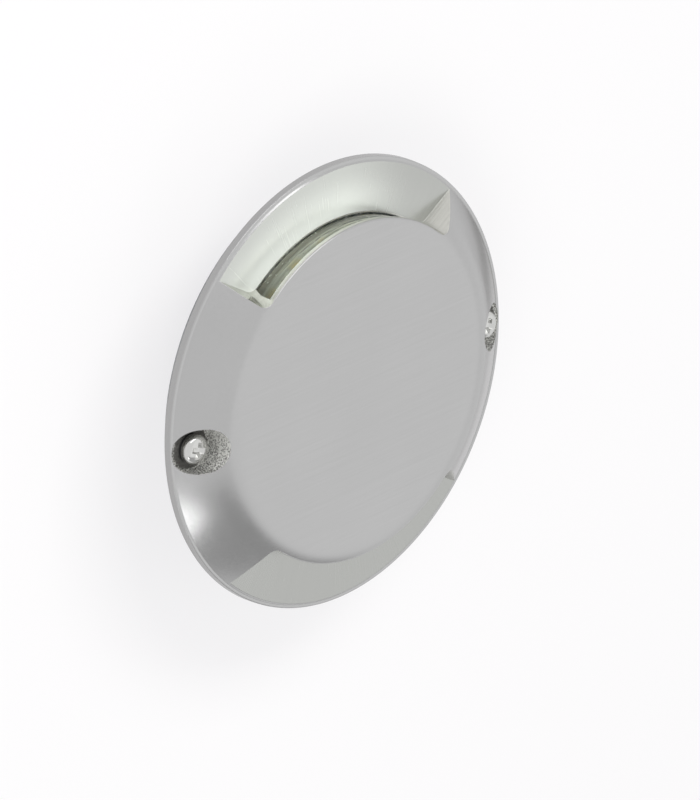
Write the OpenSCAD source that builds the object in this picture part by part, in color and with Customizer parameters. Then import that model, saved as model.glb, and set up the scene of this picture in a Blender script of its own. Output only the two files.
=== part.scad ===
// Low outdoor floor light that shines out of two side windows.
// A cast metal cover with two light windows sits on a shallow sealed housing.
// The origin is the centre of the housing's flat base, +Z points out of the cover,
// +Y points out of the upper window and the cable leaves along -Y.

/* [Cover] */
// Radius of the cover at the front edge of its rim
cover_r = 55; // [54.5:0.5:58]
// How much wider the rim is at its back than at its front edge
rim_taper = 0.15; // [0:0.05:0.6]
// Height of the rim's side wall
rim_h = 2; // [1.8:0.1:2.2]
// Flat land between the rim's front edge and the sloping flank
rim_land = 0.9; // [0.5:0.1:1.2]
// Slope of the flank against the ground
flank_angle = 33.8; // [32:0.2:35]
// Radius that rounds the flank into the flat top
shoulder_round = 14; // [10:0.5:16]
// Height of the flat top above the cover's back
cover_h = 9.5; // [9.2:0.1:10]
// Thickness of the cover's top over the lens
cover_top_t = 1.8; // [1.6:0.1:2]

/* [Light windows] */
// Radius of the windows' inner edge on top of the cover
window_r = 42; // [41.5:0.5:43]
// Half of the angle that one window opens
window_half_angle = 45; // [40:1:46]
// Height of the flat shelf in front of the lens, above the cover's back
shelf_h = 2.3; // [2.1:0.1:2.8]
// Lean of each window's end wall
end_lean = 20; // [15:1:24]
// Turn of each end wall away from the radial direction
end_splay = 13; // [9:1:15]
// Round in the corner between the inner edge and an end wall
corner_round = 3; // [2:0.25:3.5]
// Chamfer along the window's inner edge
edge_chamfer = 0.4; // [0.2:0.1:0.6]

/* [Cover screws] */
// Thickness of the wall between a screw's pocket and the hollow for the lens
pocket_wall = 0.95; // [0.55:0.05:1.35]
// Radius of the pocket round a screw head
pocket_r = 5.5; // [5:0.1:5.8]
// How far the pocket is stretched along the line of the screws
pocket_stretch = 1.1; // [0.6:0.1:1.4]
// Height of the pocket's floor above the cover's back
pocket_floor_h = 1.6; // [1.4:0.1:1.8]
// Radius of the screw's head
head_r = 3.55; // [3.2:0.05:3.8]
// Height of the screw's head
head_h = 2.7; // [2.2:0.1:3]
// Height of the straight side of the head below its dome
head_side_h = 1; // [0.8:0.1:1.4]
// Radius of the screw's thread
screw_r = 2; // [1.8:0.05:2.1]
// Length of the screw below its head
screw_l = 6; // [5.6:0.1:6.2]
// Thickness of the sealing washer below the head
washer_t = 0.5; // [0.4:0.1:0.7]

/* [Lens] */
// Distance of the hollow for the lens from the cover's edge
hollow_inset = 13.4; // [13:0.1:14]
// Thickness of the clear lens wall
lens_wall = 2.9; // [2.4:0.1:3.2]
// Thickness of the lens cup's closed top
lens_top_t = 0.9; // [0.8:0.1:1.2]
// Thickness of the seal below the lens
lens_seal_t = 0.8; // [0.6:0.1:1]
// Thickness of the soft ring between lens and cover
top_gasket_t = 0.4; // [0.3:0.1:0.5]
// Width of that soft ring
top_gasket_w = 6; // [4:0.5:8]

/* [Housing] */
// Outer radius of the cup
cup_r = 31; // [30.5:0.25:32]
// Thickness of the cup's wall
cup_wall = 2.5; // [2:0.1:2.5]
// Thickness of the cup's floor
cup_floor = 2; // [1.6:0.1:2]
// Height of the cup from its base to the underside of the flange
cup_h = 18; // [18:0.25:19]
// How far the cover stands out past the flange
flange_inset = 3; // [2.6:0.1:3.2]
// Thickness of the flange
flange_t = 3; // [2.6:0.1:3.4]
// Distance of the four deck screw holes from the flange's edge
deck_hole_inset = 5; // [4.8:0.1:5.4]
// Radius of a deck screw hole
deck_hole_r = 2.25; // [2:0.05:2.4]
// Radius of a deck screw hole's countersink
deck_sink_r = 4.1; // [3.8:0.1:4.3]
// Distance of the seat gasket from the cup
seat_gasket_gap = 5; // [4:0.5:7]
// How far the flange stands out past the seat gasket
seat_gasket_inset = 2; // [1:0.25:2]
// Thickness of the seat gasket
seat_gasket_t = 1; // [0.8:0.1:1.2]

/* [Light core] */
// Gap between the lens and the metal core that carries the light strips
core_gap = 3.4; // [3.2:0.1:3.9]
// Gap between the core's top and the lens
core_top_gap = 0.6; // [0.4:0.1:1]
// Radius of the bosses that take the core screws
boss_r = 3.5; // [3.2:0.1:3.6]
// Thickness of a light strip
strip_t = 0.4; // [0.3:0.05:0.5]
// Width of a light strip
strip_w = 3.8; // [3.6:0.1:4]
// Half of the angle that one light strip covers
strip_half_angle = 44; // [43:0.5:46]
// Number of light emitters on each strip
led_count = 6; // [4:1:7]
// Width of one emitter along the strip
led_w = 3.5; // [2.8:0.1:4]
// Height of one emitter
led_h = 2.8; // [2:0.1:3.2]
// Thickness of one emitter
led_t = 0.8; // [0.6:0.1:1]
// Thickness of the white reflector ring
reflector_t = 0.5; // [0.4:0.1:0.7]
// Radius of an insulated lead
lead_r = 0.6; // [0.5:0.05:0.65]

/* [Driver] */
// Gap between the round driver board and the bosses
board_gap = 1; // [0.75:0.25:1.5]
// Thickness of the driver board
board_t = 1.6; // [1.2:0.1:2]
// Height of the board's underside above the cup's floor
board_lift = 4; // [3.5:0.25:4.5]
// Distance of the board screws from the board's edge
board_screw_inset = 4; // [3.75:0.25:4.5]
// Radius of the posts below the board
post_r = 2.4; // [2.2:0.1:2.6]
// Distance between the cable terminal's two poles
terminal_pitch = 5; // [4.5:0.5:5]
// Height of the cable terminal
terminal_h = 7; // [6.5:0.25:7.5]

/* [Cable gland] */
// Height of the gland's axis above the base
gland_z = 8.2; // [8.1:0.05:8.3]
// Radius of the gland's thread
gland_thread_r = 5; // [4.8:0.1:5]
// Distance across the flats of the gland's hexagons
gland_flats = 12; // [11.8:0.1:12]
// Thickness of the gland body's hexagon
gland_hex_t = 4; // [3.5:0.25:4.5]
// Length of the gland's dome nut
gland_nut_l = 11; // [10.5:0.25:11.5]
// Radius of the hole for the cable
cable_hole_r = 2.8; // [2.5:0.1:3]

/* [Vent plug] */
// Height of the vent plug's axis above the base
vent_z = 9; // [8:0.5:10]
// Radius of the vent plug's thread
vent_thread_r = 2.5; // [2.3:0.1:2.7]
// Radius of the vent plug's head
vent_head_r = 4; // [3.8:0.1:4.5]
// Thickness of the vent plug's head
vent_head_t = 1.5; // [1.25:0.25:2]

/* [Hidden] */
$fn = 96;

// Sliding gap between pieces of which one is lifted off
lift_gap = 0.3;
// Play round a screw in a plain hole
screw_play = 0.25;
// Gap between a thread and the thread it turns in
thread_gap = 0.05;
// Gap that keeps a fitted piece from touching a round wall
fit_gap = 0.2;
// Small overshoot of a cut past the surface it opens
over = 0.5;

// Play round the lens in the cover's hollow
lens_play = lift_gap;

// Levels above the base
floor_z = cup_floor;
flange_z = cup_h;
back_z = flange_z + flange_t;
seat_z = flange_z - seat_gasket_t;
shelf_z = back_z + shelf_h;
pocket_z = back_z + pocket_floor_h;
head_z = pocket_z + washer_t;
ceiling_z = back_z + cover_h - cover_top_t;
lens_z = back_z + lens_seal_t;
lens_top_z = ceiling_z - top_gasket_t;
core_top_z = lens_top_z - lens_top_t - core_top_gap;
core_h = core_top_z - back_z;
board_z = floor_z + board_lift;
parts_z = board_z + board_t;

// Outline of the cover, from the rim inwards
rim_back_r = cover_r + rim_taper;
foot_r = cover_r - rim_land;
shoulder_rise = cover_h - shoulder_round * (1 - cos(flank_angle));
shoulder_r = foot_r - (shoulder_rise - rim_h) / tan(flank_angle);
flat_r = shoulder_r - shoulder_round * sin(flank_angle);
corner_r = flat_r + shoulder_round * tan(flank_angle / 2);

// Radii that follow from the cover's edge
cavity_r = cover_r - hollow_inset;
lens_r = cavity_r - lens_play;
lens_in_r = lens_r - lens_wall;
// Distance of the soft ring from the lens's edge
top_gasket_edge = 1;
// Half of the angle over which the window is open to the lens
slit_half_angle = window_half_angle - asin(corner_round / window_r);
// Height of the cover's top at the windows' inner edge
edge_h = cover_h - shoulder_round + sqrt(pow(shoulder_round, 2) - pow(window_r - flat_r, 2));

screw_place_r = cavity_r + pocket_wall + pocket_r + pocket_stretch / 2;

// Flange and seat gasket
flange_r = cover_r - flange_inset;
deck_hole_place_r = flange_r - deck_hole_inset;
seat_gasket_in_r = cup_r + seat_gasket_gap;
seat_gasket_out_r = flange_r - seat_gasket_inset;

// Cup, core and board
core_r = lens_in_r - core_gap;
cup_in_r = cup_r - cup_wall;
cup_edge = 1;
boss_angles = [0, 120, 240];
deck_hole_angles = [45, 135, 225, 315];
boss_bite = 0.5;
core_screw_place_r = cup_in_r + boss_bite - boss_r;
core_screw_r = 1.5;
core_head_r = 2.75;
core_head_h = 1.8;
core_head_sink = 2.2;
core_thread_depth = 8;
board_r = core_screw_place_r - boss_r - board_gap;
board_screw_place_r = board_r - board_screw_inset;
post_angles = [90, 210, 330];
board_screw_r = 1.25;
board_head_r = 2.2;
board_head_h = 1.5;
strip_mid_z = core_top_z - strip_w / 2 - 0.4;
emitter_r = core_r + strip_t + 0.03;
lead_ring_r = core_r + strip_t + 0.2 + lead_r;
lead_angle = 90 - strip_half_angle - 1.5;
lead_run_z = back_z + reflector_t + 0.3 + lead_r;
lead_tip_z = strip_mid_z + strip_w / 4;
lead_inset = 4;
lead_up_r = board_r - lead_inset;
lead_bend_r = 1.6;
slot_half_w = lead_r + 0.4;
slot_in_r = lead_up_r - 3 * slot_half_w;

// Driver parts, each placed on the board by its own centre
inductor_r = 4;
inductor_h = 5;
inductor_at = [-10.5, 5];
capacitor_r = 3.15;
capacitor_h = 8;
capacitor_post_gap = 5.5;
capacitor_x = 4;
capacitors_at = [for (side = [-1, 1]) [side * capacitor_x, board_screw_place_r - capacitor_post_gap]];
chip_size = [5, 4, 1.6];
chip_at = [0, 2.5];
diode_size = [4.5, 2.6, 2.1];
diode_at = [9.5, 7.2];
terminal_edge_gap = 10;
terminal_at = [0, terminal_edge_gap - board_r];
terminal_wall = 0.5;
terminal_depth = 8;
terminal_size = [2 * (terminal_pitch + terminal_wall), terminal_depth, terminal_h];
terminal_mouth_r = 1.5;
terminal_mouth_z = 2.2;
terminal_screw_r = 1.9;
terminal_screw_h = 4;
terminal_screw_y = 1.6;
terminal_slot_w = 0.6;
terminal_slot_depth = 0.8;

// Gland and vent, measured along Y from the cup's wall
pad_stand = 3;
pad_bite = 1.5;
pad_out = cup_r + pad_stand;
pad_in = cup_in_r - pad_bite;
pad_w = 15;
gland_washer_t = 1;
gland_hex_y = pad_out + gland_washer_t;
gland_nut_y = gland_hex_y + gland_hex_t;
gland_locknut_t = 2.4;
gland_nut_r = gland_flats / 2;
gland_skirt_l = 6;
gland_collar_r = gland_nut_r - 1.4;
vent_pad_out = cup_r + 1.5;
vent_pad_in = cup_in_r - 1;
vent_pad_w = 10;
vent_washer_t = 0.6;

module ring(outer, inner, height) {
    difference() {
        cylinder(r = outer, h = height);
        translate([0, 0, -over]) cylinder(r = inner, h = height + 2 * over);
    }
}

// Wedge from the axis between two angles, counted from +X, that reaches the radius given
module wedge(reach, from, to, height) {
    rotate([0, 0, from])
        rotate_extrude(angle = to - from) square([reach, height]);
}

// Straight round bar from one height to another
module post(at, radius, low, high) {
    translate([at[0], at[1], low]) cylinder(r = radius, h = high - low);
}

module at_angles(angles, radius) {
    for (a = angles) rotate([0, 0, a]) translate([radius, 0, 0]) children();
}

// Pieces of the cable side lie along -Y, with their own +Z pointing out of the cup
module along_cable(y) {
    translate([0, -y, gland_z]) rotate([90, 0, 0]) children();
}

module along_vent(y) {
    translate([0, y, vent_z]) rotate([-90, 0, 0]) children();
}

module hexagon(flats, height) {
    cylinder(r = flats / 2 / cos(30), h = height, $fn = 6);
}

// Outline of the cover above its back, without its hollow
module cover_outline() {
    square([flat_r, cover_h]);
    intersection() {
        translate([flat_r, cover_h - shoulder_round]) circle(r = shoulder_round);
        polygon([[flat_r, 0], [shoulder_r, 0], [shoulder_r, shoulder_rise],
            [corner_r, cover_h], [flat_r, cover_h]]);
    }
    polygon([[shoulder_r, 0], [rim_back_r, 0], [cover_r, rim_h], [foot_r, rim_h],
        [shoulder_r, shoulder_rise]]);
}

// Block on the window's side of its leaning end wall, for the end at the window's right
module end_wall_block() {
    big = 2 * cover_r;
    a = 90 - window_half_angle;
    translate([foot_r * cos(a), foot_r * sin(a), rim_h])
        rotate([0, 0, a - end_splay]) rotate([end_lean, 0, 0])
            translate([-big, 0, -big]) cube([2 * big, big, 2 * big]);
}

// Round cutter that lies along the end wall where it meets the window's inner edge
module end_corner() {
    a = 90 - window_half_angle;
    reach = foot_r - window_r - corner_round;
    translate([foot_r * cos(a), foot_r * sin(a), rim_h])
        rotate([0, 0, a - end_splay]) rotate([end_lean, 0, 0])
            translate([-reach, corner_round, -cover_h]) cylinder(r = corner_round, h = 4 * cover_h);
}

// What is cut away for the window on the +Y side, measured from the cover's back
module window_cut() {
    past_r = 1.1 * cover_r;
    past_h = 1.2 * cover_h;
    intersection() {
        translate([0, 0, shelf_h]) ring(past_r, window_r + corner_round, past_h);
        end_wall_block();
        mirror([1, 0, 0]) end_wall_block();
    }
    intersection() {
        translate([0, 0, shelf_h]) ring(past_r, window_r, past_h);
        wedge(past_r, 90 - slit_half_angle, 90 + slit_half_angle, past_h);
    }
    intersection() {
        translate([0, 0, shelf_h]) cylinder(r = past_r, h = past_h);
        union() {
            end_corner();
            mirror([1, 0, 0]) end_corner();
        }
    }
    intersection() {
        translate([0, 0, edge_h - edge_chamfer]) difference() {
            cylinder(r = cover_r, h = cover_h);
            cylinder(r1 = window_r, r2 = window_r - cover_h, h = cover_h);
        }
        wedge(past_r, 90 - slit_half_angle, 90 + slit_half_angle, past_h);
    }
    translate([0, 0, shelf_h]) intersection() {
        ring(max(window_r, cavity_r) + 0.1, cavity_r - 1, cover_h - cover_top_t - shelf_h);
        wedge(cover_r, 90 - slit_half_angle, 90 + slit_half_angle, cover_h);
    }
}

module pocket_cut() {
    for (side = [-1, 1])
        translate([side * pocket_stretch / 2, 0, pocket_floor_h])
            cylinder(r = pocket_r, h = cover_h);
    translate([-pocket_stretch / 2, -pocket_r, pocket_floor_h])
        cube([pocket_stretch, 2 * pocket_r, cover_h]);
}

// Cast cover with both windows, both screw pockets and the hollow for the lens
module cover() {
    color("silver") translate([0, 0, back_z]) difference() {
        rotate_extrude() cover_outline();
        translate([0, 0, -over]) cylinder(r = cavity_r, h = cover_h - cover_top_t + over);
        window_cut();
        mirror([0, 1, 0]) window_cut();
        for (side = [-1, 1]) translate([side * screw_place_r, 0, 0]) {
            pocket_cut();
            translate([0, 0, -over]) cylinder(r = screw_r + screw_play, h = cover_h);
        }
    }
}

// One wing of the cross recess, wide at the top and narrow below
module recess_wing(length, depth, width) {
    rotate([90, 0, 0]) translate([0, 0, -width / 2]) linear_extrude(width)
        polygon([[-length / 2, over], [length / 2, over], [length / 5, -depth], [-length / 5, -depth]]);
}

// Pan head screw with a cross recess, with its head's underside at height 0
module cross_screw(head_radius, head_height, side_height, thread_radius, length) {
    drop = head_height - side_height;
    dome_r = (head_radius * head_radius + drop * drop) / (2 * drop);
    recess_depth = 0.6 * head_height;
    recess_length = 1.15 * head_radius;
    difference() {
        union() {
            intersection() {
                cylinder(r = head_radius, h = head_height);
                translate([0, 0, head_height - dome_r]) sphere(r = dome_r);
            }
            translate([0, 0, -length]) cylinder(r = thread_radius, h = length + head_height / 4);
        }
        translate([0, 0, head_height]) for (turn = [0, 90]) rotate([0, 0, turn])
            recess_wing(recess_length, recess_depth, 0.28 * head_radius);
    }
}

module cover_screw(side) {
    translate([side * screw_place_r, 0, head_z])
        cross_screw(head_r, head_h, head_side_h, screw_r - thread_gap, screw_l);
}

module screw_left() {
    color("gainsboro") cover_screw(-1);
}

module screw_right() {
    color("gainsboro") cover_screw(1);
}

// Rubber washers that seal the screw holes and hold the loosened screws in the cover
module screw_washers() {
    color("black") at_angles([0, 180], screw_place_r)
        translate([0, 0, pocket_z]) ring(head_r - 0.1, screw_r + screw_play / 2, washer_t);
}

module top_gasket() {
    color("dimgray") translate([0, 0, lens_top_z])
        ring(lens_r - top_gasket_edge, lens_r - top_gasket_edge - top_gasket_w, top_gasket_t);
}

// Clear cup over the light core, open downwards
module lens() {
    color("lightcyan", 0.4) translate([0, 0, lens_z]) difference() {
        cylinder(r = lens_r, h = lens_top_z - lens_z);
        translate([0, 0, -over])
            cylinder(r = lens_in_r, h = lens_top_z - lens_z - lens_top_t + over);
    }
}

module lens_seal() {
    color("dimgray") translate([0, 0, back_z]) ring(lens_r - 0.2, lens_in_r, lens_seal_t);
}

// Flat pad on the cup's wall, where a fitting goes through
module wall_pad(out, in, width, low, high) {
    translate([-width / 2, in, low]) cube([width, out - in, high - low]);
}

// What is hollow in the cup: the bosses, the posts and the two pads on the wall stay solid
module cup_hollow() {
    difference() {
        translate([0, 0, floor_z]) cylinder(r = cup_in_r, h = back_z);
        mirror([0, 1, 0]) wall_pad(pad_out, pad_in, pad_w, 0, flange_z);
        wall_pad(vent_pad_out, vent_pad_in, vent_pad_w, 0, flange_z);
        at_angles(boss_angles, core_screw_place_r) post([0, 0], boss_r, 0, 2 * back_z);
        at_angles(post_angles, board_screw_place_r) post([0, 0], post_r, 0, board_z);
    }
}

// Cup, flange, inner bosses and posts, with all their holes
module housing() {
    color("dimgray") difference() {
        union() {
            cylinder(r1 = cup_r - cup_edge, r2 = cup_r, h = cup_edge);
            translate([0, 0, cup_edge]) cylinder(r = cup_r, h = flange_z);
            translate([0, 0, flange_z]) cylinder(r = flange_r, h = flange_t);
            mirror([0, 1, 0]) wall_pad(pad_out, cup_in_r, pad_w, 0, flange_z);
            wall_pad(vent_pad_out, cup_in_r, vent_pad_w, 0, flange_z);
        }
        cup_hollow();
        at_angles([0, 180], screw_place_r)
            post([0, 0], screw_r, flange_z - over, back_z + over);
        at_angles(deck_hole_angles, deck_hole_place_r) {
            post([0, 0], deck_hole_r, flange_z - over, back_z + over);
            translate([0, 0, back_z + 0.01 - (deck_sink_r - deck_hole_r)])
                cylinder(r1 = deck_hole_r, r2 = deck_sink_r, h = deck_sink_r - deck_hole_r);
        }
        at_angles(boss_angles, core_screw_place_r)
            post([0, 0], core_screw_r, back_z - core_thread_depth, back_z + over);
        at_angles(post_angles, board_screw_place_r)
            post([0, 0], board_screw_r, floor_z + 1, board_z + over);
        along_cable(pad_in - over)
            cylinder(r = gland_thread_r + thread_gap, h = pad_out - pad_in + 2 * over);
        along_vent(vent_pad_in - over)
            cylinder(r = vent_thread_r + thread_gap, h = vent_pad_out - vent_pad_in + 2 * over);
    }
}

// Flat ring under the flange, punched for the cover screws' tips and the deck screws
module seat_gasket() {
    color("black") difference() {
        translate([0, 0, seat_z])
            ring(seat_gasket_out_r, seat_gasket_in_r, seat_gasket_t);
        at_angles([0, 180], screw_place_r) post([0, 0], screw_r + 1, seat_z - over, back_z);
        at_angles(deck_hole_angles, deck_hole_place_r)
            post([0, 0], deck_hole_r + 0.4, seat_z - over, back_z);
    }
}

// Solid metal disc that the light strips are wrapped round, slotted for the leads
module light_core() {
    color("darkgray") difference() {
        translate([0, 0, back_z]) cylinder(r = core_r, h = core_h);
        at_angles([lead_angle, -lead_angle], slot_in_r)
            translate([0, -slot_half_w, back_z - over]) cube([core_r, 2 * slot_half_w, core_h + 2 * over]);
        at_angles(boss_angles, core_screw_place_r) {
            post([0, 0], core_screw_r + screw_play, back_z - over, core_top_z + over);
            post([0, 0], core_head_r + screw_play, core_top_z - core_head_sink, core_top_z + over);
        }
    }
}

module core_screws() {
    length = core_h - core_head_sink + core_thread_depth - 1.5;
    color("gainsboro") at_angles(boss_angles, core_screw_place_r)
        translate([0, 0, core_top_z - core_head_sink])
            cross_screw(core_head_r, core_head_h, 0.9, core_screw_r - thread_gap, length);
}

// Bent light strip on the +Y side of the core
module light_strip() {
    intersection() {
        translate([0, 0, strip_mid_z - strip_w / 2]) ring(core_r + strip_t, core_r, strip_w);
        wedge(cover_r, 90 - strip_half_angle, 90 + strip_half_angle, back_z + core_h);
    }
}

module strip_upper() {
    color("white") light_strip();
}

module strip_lower() {
    color("white") mirror([0, 1, 0]) light_strip();
}

module emitters() {
    step = 2 * strip_half_angle / led_count;
    for (i = [0 : led_count - 1])
        rotate([0, 0, 90 - strip_half_angle + (i + 0.5) * step])
            translate([emitter_r, -led_w / 2, strip_mid_z - led_h / 2])
                cube([led_t, led_w, led_h]);
}

module emitters_upper() {
    color("khaki") emitters();
}

module emitters_lower() {
    color("khaki") mirror([0, 1, 0]) emitters();
}

// White ring on the flange that throws the light outwards
module reflector() {
    color("white") translate([0, 0, back_z])
        ring(lens_in_r - fit_gap, core_r + fit_gap, reflector_t);
}

module driver_board() {
    color("darkgreen") difference() {
        translate([0, 0, board_z]) cylinder(r = board_r, h = board_t);
        at_angles(post_angles, board_screw_place_r)
            post([0, 0], board_screw_r + screw_play, board_z - over, parts_z + over);
    }
}

module board_screws() {
    color("gainsboro") at_angles(post_angles, board_screw_place_r) translate([0, 0, parts_z])
        cross_screw(board_head_r, board_head_h, 0.8, board_screw_r - thread_gap, board_t + board_lift - 1.5);
}

// Round coil body with a wound waist
module inductor() {
    color("darkslategray") translate([inductor_at[0], inductor_at[1], parts_z]) difference() {
        cylinder(r = inductor_r, h = inductor_h);
        translate([0, 0, 1]) ring(inductor_r + over, inductor_r - 0.8, inductor_h - 2);
    }
}

module capacitors() {
    color("navy") for (at = capacitors_at) post(at, capacitor_r, parts_z, parts_z + capacitor_h);
}

// Small flat block standing on the board
module board_block(at, size) {
    translate([at[0] - size[0] / 2, at[1] - size[1] / 2, parts_z]) cube(size);
}

module driver_chip() {
    color("black") board_block(chip_at, chip_size);
}

module diode() {
    color("black") board_block(diode_at, diode_size);
}

// Two-pole cable terminal with its mouths towards the gland
module terminal_body() {
    color("seagreen") difference() {
        board_block(terminal_at, terminal_size);
        for (side = [-0.5, 0.5]) translate([terminal_at[0] + side * terminal_pitch, terminal_at[1], 0]) {
            translate([0, 0, parts_z + terminal_mouth_z]) rotate([90, 0, 0])
                cylinder(r = terminal_mouth_r, h = terminal_depth / 2 + over);
            post([0, terminal_screw_y], terminal_screw_r, parts_z + terminal_h - terminal_screw_h,
                parts_z + terminal_h + over);
        }
    }
}

module terminal_screws() {
    color("gainsboro") for (side = [-0.5, 0.5])
        translate([terminal_at[0] + side * terminal_pitch, terminal_at[1] + terminal_screw_y,
            parts_z + terminal_h - terminal_screw_h])
            difference() {
                cylinder(r = terminal_screw_r - thread_gap, h = terminal_screw_h - terminal_slot_depth);
                translate([-terminal_screw_r, -terminal_slot_w / 2, terminal_screw_h - 2 * terminal_slot_depth])
                    cube([2 * terminal_screw_r, terminal_slot_w, terminal_screw_h]);
            }
}

// Quarter of a ring that starts at radius r along +X and turns up to +Z
module lead_quarter() {
    rotate([90, 0, 0]) rotate_extrude(angle = 90) translate([lead_bend_r, 0]) circle(r = lead_r);
}

// Lead that rises from the board, runs out through the core's slot and rises to a strip's end
module strip_lead(angle) {
    run_from = lead_up_r + lead_bend_r;
    run_to = lead_ring_r - lead_bend_r;
    rotate([0, 0, angle]) {
        post([lead_up_r, 0], lead_r, parts_z, lead_run_z - lead_bend_r);
        translate([run_from, 0, lead_run_z - lead_bend_r]) rotate([0, -90, 0]) lead_quarter();
        translate([run_from, 0, lead_run_z]) rotate([0, 90, 0]) cylinder(r = lead_r, h = run_to - run_from);
        translate([run_to, 0, lead_run_z + lead_bend_r]) rotate([0, 90, 0]) lead_quarter();
        post([lead_ring_r, 0], lead_r, lead_run_z + lead_bend_r, lead_tip_z);
    }
}

module lead_red() {
    color("red") strip_lead(lead_angle);
}

module lead_black() {
    color("black") strip_lead(-lead_angle);
}

// Lead that joins the two strips on the far side from the slot
module lead_link() {
    color("white") translate([0, 0, strip_mid_z])
        rotate([0, 0, 90 + strip_half_angle - 1])
            rotate_extrude(angle = 180 - 2 * strip_half_angle + 2)
                translate([lead_ring_r, 0]) circle(r = lead_r);
}

// Hollow threaded body with its hexagon outside the wall
module gland_body() {
    bore = cable_hole_r + 0.6;
    color("lightgray") difference() {
        union() {
            along_cable(pad_in - gland_locknut_t - 1)
                cylinder(r = gland_thread_r, h = gland_nut_y - 1 - pad_in + gland_locknut_t + 1);
            along_cable(gland_hex_y) hexagon(gland_flats, gland_hex_t);
            along_cable(gland_nut_y - 1) cylinder(r = gland_collar_r, h = gland_skirt_l + 1);
        }
        along_cable(0) cylinder(r = bore, h = gland_nut_y + gland_skirt_l + over);
        along_cable(gland_nut_y) cylinder(r = gland_collar_r - 1, h = gland_skirt_l + over);
    }
}

module gland_washer() {
    color("black") along_cable(pad_out)
        ring(gland_flats / 2 - 0.2, gland_thread_r + thread_gap, gland_washer_t);
}

module gland_locknut() {
    color("lightgray") along_cable(pad_in - gland_locknut_t) difference() {
        hexagon(gland_flats, gland_locknut_t);
        translate([0, 0, -over])
            cylinder(r = gland_thread_r + thread_gap, h = gland_locknut_t + 2 * over);
    }
}

// Rubber sleeve that closes round the cable inside the gland's collar
module gland_seal() {
    color("black") along_cable(gland_nut_y)
        ring(gland_collar_r - 1, cable_hole_r, gland_skirt_l + 1.5);
}

// Dome nut that is screwed over the collar and squeezes the sleeve
module gland_nut() {
    mouth = cable_hole_r + 0.5;
    neck = gland_collar_r - 1 + lift_gap;
    color("lightgray") along_cable(gland_nut_y + 0.1) difference() {
        union() {
            hexagon(gland_flats, gland_nut_l / 2);
            cylinder(r = gland_nut_r, h = gland_nut_l - 2);
            translate([0, 0, gland_nut_l - 2]) cylinder(r1 = gland_nut_r, r2 = gland_nut_r - 1.5, h = 2);
        }
        translate([0, 0, -over]) cylinder(r = gland_collar_r + thread_gap, h = gland_skirt_l + 0.2 + over);
        cylinder(r = neck, h = gland_skirt_l + 1.8);
        cylinder(r = mouth, h = gland_nut_l + over);
    }
}

module vent_plug() {
    head_y = vent_pad_out + vent_washer_t;
    thread_y = vent_pad_in - over;
    color("dimgray") {
        along_vent(thread_y) cylinder(r = vent_thread_r, h = head_y - thread_y + vent_head_t / 2);
        along_vent(head_y) cylinder(r = vent_head_r, h = vent_head_t);
    }
}

module vent_washer() {
    color("black") along_vent(vent_pad_out)
        ring(vent_head_r - 0.3, vent_thread_r + thread_gap, vent_washer_t);
}

cover();
screw_left();
screw_right();
screw_washers();
top_gasket();
lens();
lens_seal();
housing();
seat_gasket();
light_core();
core_screws();
strip_upper();
strip_lower();
emitters_upper();
emitters_lower();
reflector();
driver_board();
board_screws();
inductor();
capacitors();
driver_chip();
diode();
terminal_body();
terminal_screws();
lead_red();
lead_black();
lead_link();
gland_body();
gland_washer();
gland_locknut();
gland_seal();
gland_nut();
vent_plug();
vent_washer();
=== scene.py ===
import math
import bmesh
import bpy
from mathutils import Matrix, Quaternion, Vector


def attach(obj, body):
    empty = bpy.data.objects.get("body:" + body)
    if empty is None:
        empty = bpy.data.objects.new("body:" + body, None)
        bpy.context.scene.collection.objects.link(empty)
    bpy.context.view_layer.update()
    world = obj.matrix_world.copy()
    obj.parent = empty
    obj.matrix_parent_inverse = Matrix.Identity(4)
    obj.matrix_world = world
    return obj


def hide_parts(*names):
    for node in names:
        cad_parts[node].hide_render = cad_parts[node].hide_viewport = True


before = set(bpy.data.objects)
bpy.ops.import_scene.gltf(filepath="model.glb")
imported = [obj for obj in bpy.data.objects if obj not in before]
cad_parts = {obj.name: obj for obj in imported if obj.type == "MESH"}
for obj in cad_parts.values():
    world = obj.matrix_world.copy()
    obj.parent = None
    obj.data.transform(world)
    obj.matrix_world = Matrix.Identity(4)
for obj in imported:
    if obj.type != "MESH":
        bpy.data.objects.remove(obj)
for name in ("Cube", "Light", "Camera"):
    if name in bpy.data.objects:
        bpy.data.objects.remove(bpy.data.objects[name])
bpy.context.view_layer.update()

# Camera: a long lens, about 1.2 m from the light, that looks down on the
# cover from the side of the upper window. It is turned as the picture is.
lens_data = bpy.data.cameras.new("long_lens")
lens_data.lens = 225
lens_data.clip_start = 0.05
camera = bpy.data.objects.new("long_lens", lens_data)
# the photo's own view: rightwards, upwards and backwards, with the place in metres last
camera.matrix_world = Matrix((
    (0.69810, 0.30260, -0.64892, -0.7608),
    (-0.02248, 0.91512, 0.40255, 0.4688),
    (0.71565, -0.26644, 0.64564, 0.7832),
    (0, 0, 0, 1)))
bpy.context.scene.collection.objects.link(camera)
bpy.context.scene.camera = camera

# Table and studio: a matt white table under a white tent, lit by large soft
# lamps. A darker stretch of the tent, which only metal shows, shades it grey.


def linear(code):
    """Colour value of an sRGB hex code, as shaders take it."""
    parts = [int(code[i:i + 2], 16) / 255 for i in (1, 3, 5)]
    return [p / 12.92 if p <= 0.04045 else ((p + 0.055) / 1.055) ** 2.4 for p in parts] + [1]


def add(tree, kind, settings=None, **inputs):
    """Adds a node; inputs are named, or in0, in1 ... for those that share a name."""
    node = tree.nodes.new(kind)
    for key, value in (settings or {}).items():
        setattr(node, key, value)
    for key, value in inputs.items():
        socket = node.inputs[int(key[2:])] if key[2:].isdigit() else node.inputs[key.replace("_", " ")]
        if isinstance(value, bpy.types.NodeSocket):
            tree.links.new(value, socket)
        else:
            socket.default_value = value
    return node


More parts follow.
